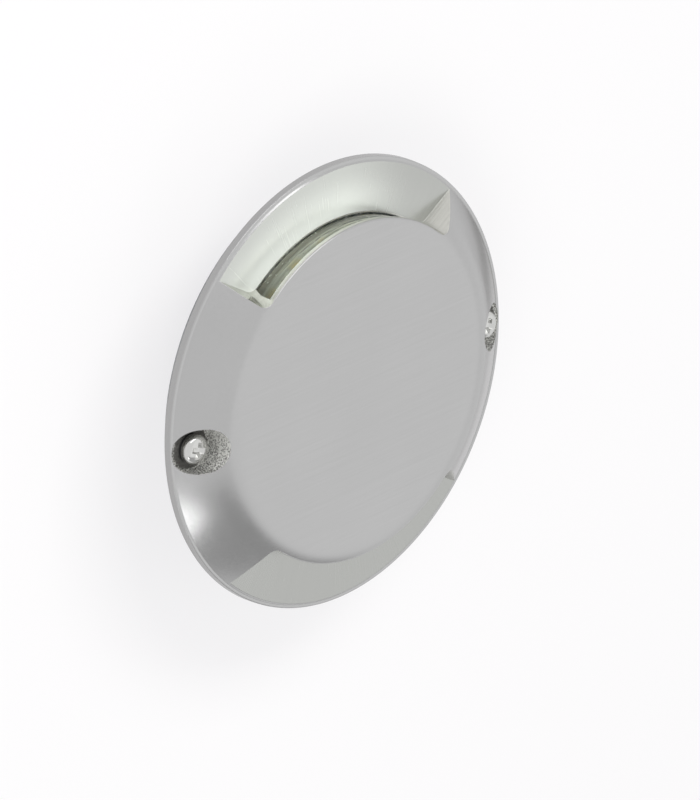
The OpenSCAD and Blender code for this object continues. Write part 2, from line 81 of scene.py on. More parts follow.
COLOURS = {"data_type": "RGBA"}
EASED = {"interpolation_type": "SMOOTHSTEP"}
bpy.ops.object.select_all(action="DESELECT")
bpy.ops.mesh.primitive_plane_add(size=8, location=(0, 0, -0.0002))
table = bpy.context.object
table.name = "table"
table_white = bpy.data.materials.new("matt_white_card")
table_white.use_nodes = True
tree = table_white.node_tree
# the camera and mirrors see grey card that glows, which keeps the shadow pale; the rest see white card
paths = add(tree, "ShaderNodeLightPath").outputs
seen = add(tree, "ShaderNodeMath", {"operation": "MAXIMUM"}, in0=paths["Is Camera Ray"],
           in1=paths["Is Transmission Ray"])
lift = add(tree, "ShaderNodeMath", {"operation": "MULTIPLY"}, in0=seen.outputs[0], in1=0.745)
# a dark flag that lies beyond the light shows in the brushed flank; mirror rays alone see it
here = add(tree, "ShaderNodeNewGeometry").outputs["Position"]
flag = add(tree, "ShaderNodeVectorMath", {"operation": "DISTANCE"}, in0=here, in1=(0.19, 0.0, 0))
flag = add(tree, "ShaderNodeMapRange", EASED, in0=flag.outputs["Value"], in1=0.03, in2=0.08, in3=0.1,
           in4=0.55)
gloss = add(tree, "ShaderNodeMath", {"operation": "MULTIPLY"}, in0=paths["Is Glossy Ray"],
            in1=flag.outputs[0])
lift = add(tree, "ShaderNodeMath", {"operation": "MAXIMUM"}, in0=lift.outputs[0], in1=gloss.outputs[0])
either = add(tree, "ShaderNodeMath", {"operation": "MAXIMUM"}, in0=seen.outputs[0],
             in1=paths["Is Glossy Ray"])
shade = add(tree, "ShaderNodeMix", COLOURS, Factor=either.outputs[0], in6=linear("#EAE9EE"),
            in7=linear("#868583"))
card = tree.nodes["Principled BSDF"]
tree.links.new(shade.outputs[2], card.inputs["Base Color"])
card.inputs["Roughness"].default_value = 0.95
card.inputs["Specular IOR Level"].default_value = 0.1
card.inputs["Emission Color"].default_value = (0.985, 0.98, 1, 1)
tree.links.new(lift.outputs[0], card.inputs["Emission Strength"])
table.data.materials.append(table_white)

world = bpy.data.worlds.new("white_tent")
bpy.context.scene.world = world
world.use_nodes = True
tree = world.node_tree
# the tent is twice as bright for the camera and mirrors as for matt faces
paths = add(tree, "ShaderNodeLightPath").outputs
seen = add(tree, "ShaderNodeMath", {"operation": "MAXIMUM"}, in0=paths["Is Camera Ray"],
           in1=paths["Is Glossy Ray"])
seen = add(tree, "ShaderNodeMath", {"operation": "MAXIMUM"}, in0=seen.outputs[0],
           in1=paths["Is Transmission Ray"])
way = add(tree, "ShaderNodeTexCoord").outputs["Generated"]
# the tent's darker stretch is an oval round this direction, nearly twice as wide as high
dark_way = Vector((0.110, -0.780, 0.616))
across = add(tree, "ShaderNodeVectorMath", {"operation": "DOT_PRODUCT"}, in0=way,
             in1=Vector((0.986, 0.016, -0.164)) / 0.55)
upward = add(tree, "ShaderNodeVectorMath", {"operation": "DOT_PRODUCT"}, in0=way,
             in1=Vector((0.122, 0.625, 0.771)) / 0.30)
off = add(tree, "ShaderNodeCombineXYZ", X=across.outputs["Value"], Y=upward.outputs["Value"])
off = add(tree, "ShaderNodeVectorMath", {"operation": "LENGTH"}, in0=off.outputs[0])
dark = add(tree, "ShaderNodeMapRange", EASED,
           in0=off.outputs["Value"], in1=1.06, in2=0.86, in3=0.0, in4=0.44)
near = add(tree, "ShaderNodeVectorMath", {"operation": "DOT_PRODUCT"}, in0=way, in1=dark_way)
near = add(tree, "ShaderNodeMath", {"operation": "GREATER_THAN"}, in0=near.outputs["Value"], in1=0.3)
dark = add(tree, "ShaderNodeMath", {"operation": "MULTIPLY"}, in0=dark.outputs[0], in1=near.outputs[0])
dark = add(tree, "ShaderNodeMath", {"operation": "MULTIPLY"}, in0=dark.outputs[0],
           in1=paths["Is Glossy Ray"])
level = add(tree, "ShaderNodeMapRange", in0=seen.outputs[0], in1=0.0, in2=1.0, in3=0.45, in4=0.9)
level = add(tree, "ShaderNodeMath", {"operation": "SUBTRACT"}, in0=level.outputs[0], in1=dark.outputs[0])
sky = tree.nodes["Background"]
sky.inputs["Color"].default_value = (1, 1, 1, 1)
tree.links.new(level.outputs[0], sky.inputs["Strength"])


def soft_lamp(name, way, distance, width, height, level, mirrored=True, lights=True):
    """Soft box that faces the light from the direction given; level 1 is as bright as white.
    Mirrored: metal and glass show it. Lights: it falls on what isn't a mirror."""
    data = bpy.data.lights.new(name, "AREA")
    data.shape = "RECTANGLE"
    data.size = width
    data.size_y = height
    data.energy = level * math.pi * width * height
    lamp = bpy.data.objects.new(name, data)
    lamp.location = Vector(way).normalized() * distance
    lamp.rotation_euler = Vector(way).to_track_quat("Z", "Y").to_euler()
    lamp.visible_glossy = mirrored
    lamp.visible_diffuse = lights
    bpy.context.scene.collection.objects.link(lamp)


soft_lamp("key_lamp", (0.12, 0.74, 0.66), 1.6, 1.4, 0.5, 7.2, mirrored=False)
soft_lamp("sheen_card", (0.10, 0.74, 0.66), 1.55, 1.2, 0.45, 2, lights=False)
soft_lamp("low_lamp", (-0.335, -0.72, 0.605), 1.3, 0.26, 0.26, 2.6)
soft_lamp("far_lamp", (0.55, -0.28, 0.78), 1.5, 1.3, 1.3, 0.1)
soft_lamp("side_lamp", (-0.80, 0.0, 0.60), 1.5, 0.8, 0.6, 6, mirrored=False)
bpy.context.scene.view_settings.view_transform = "Standard"

# Cover: one casting of stainless steel. Its flat top and sloping flank are
# brushed in one direction, both light windows are milled with a shelf and
# leaning ends, and the screw pockets keep their rough cast skin.
MM = 0.001
BACK_Z = 21.0
SHELF_Z = 23.3
TOP_Z = 30.5
WINDOW_R = 42.0
WINDOW_END = 38.254
CORNER_R = 3.2
CUTTER_H = 12
SCREW_X = 48.6
POCKET_R = 5.5
POCKET_Z = 22.6
POCKET_STRETCH = 1.1
HOLLOW_R = 41.6
HOLLOW_Z = 28.7
FLAT_R = 37
SHOULDER_W = 10.5
FLANK_W = 6.6
FLANK_TILT = math.radians(31)
FLANK_BOW_R = 85


def deselect():
    if bpy.context.object and bpy.context.object.mode != "OBJECT":
        bpy.ops.object.mode_set(mode="OBJECT")
    bpy.ops.object.select_all(action="DESELECT")


def make_active(piece):
    deselect()
    piece.select_set(True)
    bpy.context.view_layer.objects.active = piece


def smoothed(piece, degrees):
    """Shades smooth across edges that are blunter than the angle given."""
    make_active(piece)
    bpy.ops.object.shade_smooth_by_angle(angle=math.radians(degrees))


def turned(name, outline, steps=64, foot=(0, 0, 0), axis=(0, 0, 1), start=0, angle=360):
    """Draws an outline of (radius, height) points in mm and spins it about an axis."""
    axis = Vector(axis).normalized()
    side = Vector((1, 0, 0)) if abs(axis.x) < 0.5 else Vector((0, 1, 0))
    side.rotate(Quaternion(axis, math.radians(start)))
    foot = Vector(foot)
    spots = [(foot + side * r + axis * h) * MM for r, h in outline]
    deselect()
    bpy.ops.mesh.primitive_plane_add(size=1 * MM)
    piece = bpy.context.object
    piece.name = piece.data.name = name
    bpy.ops.object.mode_set(mode="EDIT")
    bpy.ops.mesh.merge(type="CENTER")
    bpy.ops.transform.translate(value=spots[0])
    for here, there in zip(spots, spots[1:]):
        bpy.ops.mesh.extrude_region_move(TRANSFORM_OT_translate={"value": there - here})
    bpy.ops.mesh.select_all(action="SELECT")
    bpy.ops.mesh.spin(steps=steps, angle=math.radians(angle), center=foot * MM, axis=-axis)
    bpy.ops.mesh.select_all(action="SELECT")
    bpy.ops.mesh.remove_doubles(threshold=1e-6)
    if angle < 360:
        bpy.ops.mesh.select_all(action="DESELECT")
        bpy.ops.mesh.select_non_manifold()
        bpy.ops.mesh.fill_holes(sides=0)
        bpy.ops.mesh.select_all(action="SELECT")
    bpy.ops.mesh.normals_make_consistent(inside=False)
    bpy.ops.object.mode_set(mode="OBJECT")
    return piece


def arc(middle, radius, from_deg, to_deg, count):
    """Points on an arc of an outline, ends included."""
    turns = [math.radians(from_deg + (to_deg - from_deg) * i / count) for i in range(count + 1)]
    return [(middle[0] + radius * math.cos(t), middle[1] + radius * math.sin(t)) for t in turns]


def cut(piece, *cutters):
    """Takes each cutter away from the piece; the cut faces keep the cutter's material."""
    for cutter in cutters:
        make_active(piece)
        step = piece.modifiers.new("cut", "BOOLEAN")
        step.operation = "DIFFERENCE"
        step.solver = "EXACT"
        step.material_mode = "TRANSFER"
        step.object = cutter
        bpy.ops.object.modifier_apply(modifier="cut")
        bpy.data.objects.remove(cutter)


def worked_metal(name, colour, roughness, lay, spacing, relief, stretch=0.5, grain=0.04):
    """Metal with fine tool lines: straight along X, spokes from the axis, rings round it, or
    levels one above the other. Spacing of the lines and relief are in mm."""
    metal = bpy.data.materials.new(name)
    metal.use_nodes = True
    tree = metal.node_tree
    shader = tree.nodes["Principled BSDF"]
    place = add(tree, "ShaderNodeTexCoord").outputs["Object"]
    xyz = add(tree, "ShaderNodeSeparateXYZ", Vector=place).outputs
    wide = 1 / (spacing * MM)
    if lay == "straight":
        coarse = add(tree, "ShaderNodeVectorMath", {"operation": "MULTIPLY"}, in0=place,
                     in1=(wide / 90, wide, wide))
    else:
        turn = add(tree, "ShaderNodeMath", {"operation": "ARCTAN2"}, in0=xyz["Y"], in1=xyz["X"])
        flat = add(tree, "ShaderNodeCombineXYZ", X=xyz["X"], Y=xyz["Y"])
        out = add(tree, "ShaderNodeVectorMath", {"operation": "LENGTH"}, in0=flat.outputs[0])
        across, along = {"spokes": (48 * MM * wide, wide / 40), "rings": (0.8, wide),
                         "levels": (0.8, wide / 30)}[lay]
        round_way = add(tree, "ShaderNodeMath", {"operation": "MULTIPLY"}, in0=turn.outputs[0],
                        in1=across)
        out_way = add(tree, "ShaderNodeMath", {"operation": "MULTIPLY"}, in0=out.outputs["Value"],
                      in1=along)
        up_way = add(tree, "ShaderNodeMath", {"operation": "MULTIPLY"}, in0=xyz["Z"], in1=wide)
        coarse = add(tree, "ShaderNodeCombineXYZ", X=round_way.outputs[0], Y=out_way.outputs[0],
                     Z=up_way.outputs[0])
    lines = add(tree, "ShaderNodeTexNoise", Vector=coarse.outputs[0], Scale=1.0, Detail=4.0,
                Roughness=0.65)
    cloud = add(tree, "ShaderNodeTexNoise", Vector=place, Scale=45.0, Detail=3.0, Roughness=0.5)
    both = add(tree, "ShaderNodeMath", {"operation": "MULTIPLY_ADD"}, in0=cloud.outputs["Fac"], in1=0.6,
               in2=lines.outputs["Fac"])
    tone = add(tree, "ShaderNodeMapRange", in0=both.outputs[0], in1=0.45, in2=1.15, in3=1 - grain,
               in4=1 + grain)
    base = linear(colour)
    shade = add(tree, "ShaderNodeVectorMath", {"operation": "SCALE"}, in0=base[:3], Scale=tone.outputs[0])
    tree.links.new(shade.outputs[0], shader.inputs["Base Color"])
    rough = add(tree, "ShaderNodeMapRange", in0=both.outputs[0], in1=0.45, in2=1.15,
                in3=roughness - 0.05, in4=roughness + 0.05)
    tree.links.new(rough.outputs[0], shader.inputs["Roughness"])
    edge = add(tree, "ShaderNodeBevel", {"samples": 4}, Radius=0.2 * MM)
    bump = add(tree, "ShaderNodeBump", Height=lines.outputs["Fac"], Distance=relief * MM, Strength=1.0,
               Normal=edge.outputs[0])
    tree.links.new(bump.outputs[0], shader.inputs["Normal"])
    shader.inputs["Metallic"].default_value = 1
    shader.inputs["Anisotropic"].default_value = stretch
    if lay == "straight":
        tangent = add(tree, "ShaderNodeTangent", {"direction_type": "UV_MAP", "uv_map": "brush"})
    else:
        tangent = add(tree, "ShaderNodeTangent", {"direction_type": "RADIAL", "axis": "Z"})
        if lay != "spokes":
            shader.inputs["Anisotropic Rotation"].default_value = 0.25
    tree.links.new(tangent.outputs[0], shader.inputs["Tangent"])
    return metal


# Brushed stainless steel: an even grey whose highlights are drawn out across the lines
brushed = worked_metal("brushed_stainless_steel", "#BBBBBB", 0.22, "straight", 0.3, 0.0004, 0.35, 0.04)
# The milled shelf shows the cutter's path as lines that run outwards
milled = worked_metal("milled_stainless_steel", "#B5B6B3", 0.25, "spokes", 0.45, 0.0005, 0.1, 0.04)
# beside the upper window's lens a pale, faintly green painted glow replaces part of the bare metal; it
# stands for the lens's light and reflection and fades towards the rim and the right end
tree = milled.node_tree
xyz = add(tree, "ShaderNodeSeparateXYZ", Vector=add(tree, "ShaderNodeTexCoord").outputs["Object"]).outputs
flat = add(tree, "ShaderNodeCombineXYZ", X=xyz["X"], Y=xyz["Y"])
out = add(tree, "ShaderNodeVectorMath", {"operation": "LENGTH"}, in0=flat.outputs[0])
painted_glow = add(tree, "ShaderNodeMapRange", EASED, in0=out.outputs["Value"],
            in1=42.5 * MM, in2=53.5 * MM, in3=0.95, in4=0.35)
aside = add(tree, "ShaderNodeMapRange", EASED, in0=xyz["X"],
            in1=0.0, in2=26.0 * MM, in3=1.0, in4=0.15)
# the lower window's shelf gets no painted glow and stays bare
half = add(tree, "ShaderNodeMath", {"operation": "GREATER_THAN"}, in0=xyz["Y"], in1=0.0)
painted_glow = add(tree, "ShaderNodeMath", {"operation": "MULTIPLY"}, in0=painted_glow.outputs[0], in1=aside.outputs[0])
painted_glow = add(tree, "ShaderNodeMath", {"operation": "MULTIPLY"}, in0=painted_glow.outputs[0], in1=half.outputs[0])


def satin_or_painted_glow(metal, share, colour):
    """Turns a share of the bare metal into pale, less metallic colour: a duller satin finish, or a
    painted glow where it stands for light.
    """
    tree = metal.node_tree
    shader = tree.nodes["Principled BSDF"]
    solid = add(tree, "ShaderNodeMath", {"operation": "SUBTRACT"}, in0=1.0, in1=share)
    tree.links.new(solid.outputs[0], shader.inputs["Metallic"])
    dull = shader.inputs["Base Color"].links[0].from_socket
    pale = add(tree, "ShaderNodeMix", COLOURS, Factor=share, in6=dull, in7=linear(colour))
    tree.links.new(pale.outputs[2], shader.inputs["Base Color"])


# painted glow on the shelf beside the upper window's lens
satin_or_painted_glow(milled, painted_glow.outputs[0], "#F1F6EE")
# The window's walls are milled smoother and read a little lighter
walls = worked_metal("milled_window_wall", "#D4D4CE", 0.24, "levels", 0.4, 0.02, 0.3, 0.12)
# the walls of the lower window are duller
tree = walls.node_tree
xyz = add(tree, "ShaderNodeSeparateXYZ", Vector=add(tree, "ShaderNodeTexCoord").outputs["Object"]).outputs
half = add(tree, "ShaderNodeMapRange", in0=xyz["Y"], in1=-1 * MM, in2=1 * MM, in3=0.7, in4=0.0)
satin_or_painted_glow(walls, half.outputs[0], "#C9C9C6")

# Raw cast skin: crowded grains of about 0.4 mm, bright on top and dark in their pits
cast_skin = bpy.data.materials.new("raw_cast_stainless_steel")
cast_skin.use_nodes = True
tree = cast_skin.node_tree
shader = tree.nodes["Principled BSDF"]
place = add(tree, "ShaderNodeTexCoord").outputs["Object"]
grains = add(tree, "ShaderNodeTexNoise", Vector=place, Scale=2300.0, Detail=4.0, Roughness=0.75)
pits = add(tree, "ShaderNodeTexVoronoi", Vector=place, Scale=2700.0, Randomness=1.0)
rough_skin = add(tree, "ShaderNodeMath", {"operation": "MULTIPLY_ADD"}, in0=pits.outputs["Distance"],
                 in1=0.7, in2=grains.outputs["Fac"])
tone = add(tree, "ShaderNodeValToRGB", Fac=rough_skin.outputs[0])
tone.color_ramp.elements[0].position, tone.color_ramp.elements[0].color = 0.57, linear("#5A5853")
tone.color_ramp.elements[1].position, tone.color_ramp.elements[1].color = 0.92, linear("#F0F0EC")
bump = add(tree, "ShaderNodeBump", Height=rough_skin.outputs[0], Distance=0.12 * MM, Strength=1.0)
# painted shade: the pocket floor darkens to dark brown grey round the screw, with a ragged edge, where
# the head shades it
xyz = add(tree, "ShaderNodeSeparateXYZ", Vector=place).outputs
aside = add(tree, "ShaderNodeMath", {"operation": "ABSOLUTE"}, in0=xyz["X"])
aside = add(tree, "ShaderNodeMath", {"operation": "SUBTRACT"}, in0=aside.outputs[0], in1=SCREW_X * MM)
spot = add(tree, "ShaderNodeCombineXYZ", X=aside.outputs[0], Y=xyz["Y"])
spot = add(tree, "ShaderNodeVectorMath", {"operation": "LENGTH"}, in0=spot.outputs[0])
ragged = add(tree, "ShaderNodeMath", {"operation": "MULTIPLY_ADD"}, in0=rough_skin.outputs[0],
             in1=1.4 * MM, in2=spot.outputs["Value"])
painted_screw_shade = add(tree, "ShaderNodeMapRange", EASED, in0=ragged.outputs[0],
            in1=6.1 * MM, in2=7.3 * MM, in3=0.88, in4=0.0)
tone = add(tree, "ShaderNodeMix", COLOURS, Factor=painted_screw_shade.outputs[0], in6=tone.outputs[0],
           in7=linear("#35332F"))
tree.links.new(tone.outputs[2], shader.inputs["Base Color"])
tree.links.new(bump.outputs[0], shader.inputs["Normal"])
shader.inputs["Metallic"].default_value = 0.6
shader.inputs["Roughness"].default_value = 0.55

# Outline from the hollow's middle, round the rim, up the slightly convex flank to the flat top
dome = [(FLAT_R, TOP_Z)]
for i in range(40):
    part = (i + 0.5) / 40
    tilt = FLANK_TILT * part * part * (3 - 2 * part)
    dome.append((FLAT_R + (i + 1) * SHOULDER_W / 40, dome[-1][1] - math.tan(tilt) * SHOULDER_W / 40))
foot_of_dome = dome[-1]
for i in range(1, 14):
    r = foot_of_dome[0] + i * FLANK_W / 13
    tilt = math.asin(math.sin(FLANK_TILT) + (r - foot_of_dome[0]) / FLANK_BOW_R)
    dome.append((r, foot_of_dome[1] - FLANK_BOW_R * (math.cos(FLANK_TILT) - math.cos(tilt))))
outline = [(0, HOLLOW_Z), (HOLLOW_R, HOLLOW_Z), (HOLLOW_R, BACK_Z)]
outline += [(54.9, BACK_Z), (55.15, BACK_Z + 0.2), (55.04, 22.75)]
outline += arc((54.84, 22.8), 0.2, 0, 90, 4) + [(54.2, 23.0)] + dome[::-1] + [(20, TOP_Z), (0, TOP_Z)]
cover = turned("cover_casting", outline, steps=288)
cover.data.materials.append(brushed)


def window_outline(z):
    """Half of a window's outline at a height, from its middle out past the rim, in mm."""
    slope, splay = math.radians(20), math.radians(32)
    along = Vector((math.cos(splay), math.sin(splay)))
    inward = Vector((-math.sin(splay), math.cos(splay)))
    end = Vector((WINDOW_END, WINDOW_END)) - inward * ((z - 23.0) * math.tan(slope))
    # centre of the corner's round, as far from the end wall as from the inner edge
    start = end + inward * CORNER_R
    reach = WINDOW_R + CORNER_R
    step = -start.dot(along) + math.sqrt(start.dot(along) ** 2 - start.length_squared + reach ** 2)
    middle = start + along * step
    last = math.atan2(middle.y, middle.x)
    points = []
    for i in range(33):
        a = math.radians(90) + (last - math.radians(90)) * i / 32
        points.append(Vector((WINDOW_R * math.cos(a), WINDOW_R * math.sin(a))))
    begin, finish = last + math.pi, math.radians(32 + 270)
    for i in range(1, 13):
        t = begin + (finish - begin) * i / 12
        points.append(middle + Vector((math.cos(t), math.sin(t))) * CORNER_R)
    points.append(end + along * 14)
    return points


def window_cutter(name):
    """Block that is as wide as the window at the shelf and widens upwards."""
    low, high = window_outline(SHELF_Z), window_outline(SHELF_Z + CUTTER_H)
    for points in (low, high):
        far = points[-1]
        for i in range(1, 5):
            points.append(Vector((far.x * (1 - i / 4), far.y + (66 - far.y) * i / 4)))
    deselect()
    bpy.ops.mesh.primitive_plane_add(size=1 * MM)
    block = bpy.context.object
    block.name = name
    bpy.ops.object.mode_set(mode="EDIT")
    bpy.ops.mesh.merge(type="CENTER")
    loop = low + [Vector((-p.x, p.y)) for p in reversed(low[1:-1])]
    top = high + [Vector((-p.x, p.y)) for p in reversed(high[1:-1])]
    spots = [Vector((p.x, p.y, SHELF_Z)) * MM for p in loop]
    bpy.ops.transform.translate(value=spots[0])
    for here, there in zip(spots, spots[1:]):
        bpy.ops.mesh.extrude_region_move(TRANSFORM_OT_translate={"value": there - here})
    bpy.ops.mesh.select_all(action="SELECT")
    bpy.ops.mesh.edge_face_add()
    bpy.ops.mesh.extrude_region_move(TRANSFORM_OT_translate={"value": (0, 0, CUTTER_H * MM)})
    # the upper outline is moved out to the leaning ends
    shape = bmesh.from_edit_mesh(block.data)
    for corner in shape.verts:
        if corner.select:
            i = min(range(len(loop)), key=lambda k: (loop[k] * MM - corner.co.xy).length)
            corner.co.xy = top[i] * MM
    bmesh.update_edit_mesh(block.data)
    bpy.ops.mesh.select_all(action="SELECT")
    bpy.ops.mesh.normals_make_consistent(inside=False)
    bpy.ops.object.mode_set(mode="OBJECT")
    block.data.materials.append(walls)
    block.data.materials.append(milled)
    for face in block.data.polygons:
        face.material_index = 1 if abs(face.normal.z) > 0.9 else 0
    return block


def turned_half_round(piece):
    """The same cutter for the window on the other side."""
    make_active(piece)
    bpy.ops.object.mode_set(mode="EDIT")
    bpy.ops.mesh.select_all(action="SELECT")
    bpy.ops.transform.rotate(value=math.pi, orient_axis="Z", center_override=(0, 0, 0))
    bpy.ops.object.mode_set(mode="OBJECT")
    return piece


LIP_ROUND = 0.5
lip = arc((WINDOW_R - LIP_ROUND, 30.03 - 0.776 * LIP_ROUND), LIP_ROUND, 0, 75.6, 8)
lip = [(44.5, lip[0][1])] + lip + [(lip[-1][0], 33), (44.5, 33), (44.5, lip[0][1])]
slit = [(40.6, SHELF_Z), (42.1, SHELF_Z), (42.1, HOLLOW_Z), (40.6, HOLLOW_Z), (40.6, SHELF_Z)]
for half in (0, 1):
    tools = [window_cutter("window_cutter")]
    for name, shape in (("lip_cutter", lip), ("slit_cutter", slit)):
        tool = turned(name, shape, steps=65, start=90 - 40.9, angle=81.8)
        tool.data.materials.append(walls if name == "slit_cutter" else brushed)
        tools.append(tool)
    cut(cover, *[turned_half_round(tool) if half else tool for tool in tools])

for side in (-1, 1):
    deselect()
    middle = (side * SCREW_X * MM, 0, (POCKET_Z + 6) * MM)
    bpy.ops.mesh.primitive_cylinder_add(vertices=64, radius=POCKET_R * MM, depth=12 * MM, location=middle)
    pocket = bpy.context.object
    bpy.ops.object.mode_set(mode="EDIT")
    bpy.ops.mesh.select_all(action="DESELECT")
    shape = bmesh.from_edit_mesh(pocket.data)
    for corner in shape.verts:
        corner.select_set(corner.co.x > 0)
    shape.select_flush(True)
    bmesh.update_edit_mesh(pocket.data)
    bpy.ops.transform.translate(value=(POCKET_STRETCH * MM, 0, 0))
    bpy.ops.mesh.select_all(action="SELECT")
    bpy.ops.transform.translate(value=(-POCKET_STRETCH / 2 * MM, 0, 0))
    bpy.ops.object.mode_set(mode="OBJECT")
    bpy.ops.object.transform_apply()
    pocket.data.materials.append(cast_skin)
    hole = [(0, 20), (2.25, 20), (2.25, 24), (0, 24)]
    hole = turned("screw_hole", hole, steps=32, foot=(side * SCREW_X, 0, 0))
    hole.data.materials.append(cast_skin)
    cut(cover, pocket, hole)

smoothed(cover, 28)
lay = cover.data.uv_layers.active or cover.data.uv_layers.new()
lay.name = "brush"
for corner in cover.data.loops:
    spot = cover.data.vertices[corner.vertex_index].co
    lay.data[corner.index].uv = (spot.y * 8 + 0.5, 0.5 - spot.x * 8)
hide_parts("cover")
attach(cover, "cover")

# Cover screws: two polished stainless pan head screws with cross recesses.
# Each stands in its pocket and screws into the housing's flange.
polished = bpy.data.materials.new("polished_stainless_steel")
polished.use_nodes = True
tree = polished.node_tree
shader = tree.nodes["Principled BSDF"]
place = add(tree, "ShaderNodeTexCoord").outputs["Object"]
smears = add(tree, "ShaderNodeTexNoise", Vector=place, Scale=700.0, Detail=3.0)
rough = add(tree, "ShaderNodeMapRange", in0=smears.outputs["Fac"], in1=0.3, in2=0.7, in3=0.08, in4=0.22)
bump = add(tree, "ShaderNodeBump", Height=smears.outputs["Fac"], Distance=0.02 * MM)
shader.inputs["Base Color"].default_value = linear("#D3D3D1")
shader.inputs["Metallic"].default_value = 1
tree.links.new(rough.outputs[0], shader.inputs["Roughness"])
tree.links.new(bump.outputs[0], shader.inputs["Normal"])


def cross_cutter(name, x, top, length, depth, width):
    """Cross-shaped plug, wide at the top and narrow below, that presses the recess."""
    wings = []
    for turn in (20, 110):
        deselect()
        bpy.ops.mesh.primitive_cube_add(size=1, location=(0, 0, 0))
        wing = bpy.context.object
        bpy.ops.object.mode_set(mode="EDIT")
        bpy.ops.transform.resize(value=(length * MM, width * MM, depth * 2 * MM))
        shape = bmesh.from_edit_mesh(wing.data)
        for corner in shape.verts:
            if corner.co.z < 0:
                corner.co.x *= 0.32
                corner.co.y *= 0.55
        bmesh.update_edit_mesh(wing.data)
        bpy.ops.transform.rotate(value=math.radians(turn), orient_axis="Z", center_override=(0, 0, 0))
        bpy.ops.transform.translate(value=(x * MM, 0, top * MM))
        bpy.ops.object.mode_set(mode="OBJECT")
        wing.data.materials.append(polished)
        wings.append(wing)
    return wings


def cover_screw(name, x):
    """Pan head screw: domed head with a cross recess above a threaded shank."""
    # the underside stays 0.015 mm off the washer, so that the two drawn faces never share a plane
    head = [(0, 25.8)] + arc((0, 17.0), 8.8, 88, 74, 8)
    head += arc((2.25, 24.15), 1.3, 72, 0, 8) + [(3.55, 23.3), (3.4, 23.115), (1.95, 23.115)]
    z = 22.6
    while z > 17.6:
        head += [(1.93, z), (1.62, z - 0.25), (1.62, z - 0.45), (1.93, z - 0.7)]
        z -= 0.72
    head += [(1.5, 17.1), (0, 17.1)]
    screw = turned(name, head, steps=72, foot=(x, 0, 0))
    screw.data.materials.append(polished)
    cut(screw, *cross_cutter("recess", x, 25.8, 6.6, 1.2, 1.9))
    bevel = screw.modifiers.new("edges", "BEVEL")
    bevel.width = 0.07 * MM
    bevel.segments = 2
    bevel.limit_method = "ANGLE"
    bevel.angle_limit = math.radians(35)
    make_active(screw)
    bpy.ops.object.modifier_apply(modifier="edges")
    smoothed(screw, 30)
    return screw


for side, x in (("left", -SCREW_X), ("right", SCREW_X)):
    screw = cover_screw("pan_head_screw_" + side, x)
    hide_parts("screw_" + side)
    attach(screw, "screw_" + side)

# Lens: a clear glass cup with a thick wall, a faint green tint and small
# bubbles. The cover presses it on its seal through a soft ring.
glass = bpy.data.materials.new("clear_cast_glass")
glass.use_nodes = True
tree = glass.node_tree
shader = tree.nodes["Principled BSDF"]
place = add(tree, "ShaderNodeTexCoord").outputs["Object"]
xyz = add(tree, "ShaderNodeSeparateXYZ", Vector=place).outputs
turn = add(tree, "ShaderNodeMath", {"operation": "ARCTAN2"}, in0=xyz["Y"], in1=xyz["X"])
turn = add(tree, "ShaderNodeMath", {"operation": "MULTIPLY"}, in0=turn.outputs[0], in1=2.2)
rise = add(tree, "ShaderNodeMath", {"operation": "MULTIPLY"}, in0=xyz["Z"], in1=900.0)
drawn = add(tree, "ShaderNodeCombineXYZ", X=turn.outputs[0], Y=rise.outputs[0])
streaks = add(tree, "ShaderNodeTexNoise", Vector=drawn.outputs[0], Scale=1.0, Detail=3.0, Roughness=0.5)
bubbles = add(tree, "ShaderNodeTexVoronoi", Vector=place, Scale=900.0, Randomness=1.0)
bubbles = add(tree, "ShaderNodeMapRange", in0=bubbles.outputs["Distance"], in1=0.12, in2=0.2, in3=1.0,
              in4=0.0)
# the wall's inner face and the flat top are frosted and keep the streaks of the mould
flat = add(tree, "ShaderNodeCombineXYZ", X=xyz["X"], Y=xyz["Y"])
out = add(tree, "ShaderNodeVectorMath", {"operation": "LENGTH"}, in0=flat.outputs[0])
inner = add(tree, "ShaderNodeMath", {"operation": "LESS_THAN"}, in0=out.outputs["Value"], in1=39.5 * MM)
frost = add(tree, "ShaderNodeMapRange", in0=inner.outputs[0], in1=0.0, in2=1.0, in3=0.02, in4=0.3)
tree.links.new(frost.outputs[0], shader.inputs["Roughness"])
drawn_bump = add(tree, "ShaderNodeBump", Height=streaks.outputs["Fac"], Distance=0.3 * MM,
                 Strength=inner.outputs[0])
bubble_bump = add(tree, "ShaderNodeBump", Height=bubbles.outputs[0], Distance=0.08 * MM,
                  Strength=inner.outputs[0],
                  Normal=drawn_bump.outputs[0])
tree.links.new(bubble_bump.outputs[0], shader.inputs["Normal"])
tint = add(tree, "ShaderNodeValToRGB", Fac=streaks.outputs["Fac"])
tint.color_ramp.elements[0].position, tint.color_ramp.elements[0].color = 0.42, linear("#A3AA98")
tint.color_ramp.elements[1].position, tint.color_ramp.elements[1].color = 0.64, linear("#F2F7EE")
# painted shade: the glass darkens to olive brown at its foot, where the narrow gap beside the shelf lies
# in shade
foot = add(tree, "ShaderNodeMapRange", EASED, in0=xyz["Z"], in1=23.4 * MM, in2=24.4 * MM, in3=0.9,
           in4=0.0)
# the glass is darker towards its left end
left_darkening = add(tree, "ShaderNodeMapRange", EASED, in0=xyz["X"], in1=-27.0 * MM, in2=-15.0 * MM, in3=0.6,
            in4=0.0)
tint = add(tree, "ShaderNodeMix", COLOURS, Factor=left_darkening.outputs[0], in6=tint.outputs[0],
           in7=linear("#5C605A"))
tint = add(tree, "ShaderNodeMix", COLOURS, Factor=foot.outputs[0], in6=tint.outputs[2],
           in7=linear("#3B3A28"))
tint = add(tree, "ShaderNodeMix", COLOURS, Factor=inner.outputs[0], in6=linear("#E9F1E0"),
           in7=tint.outputs[2])
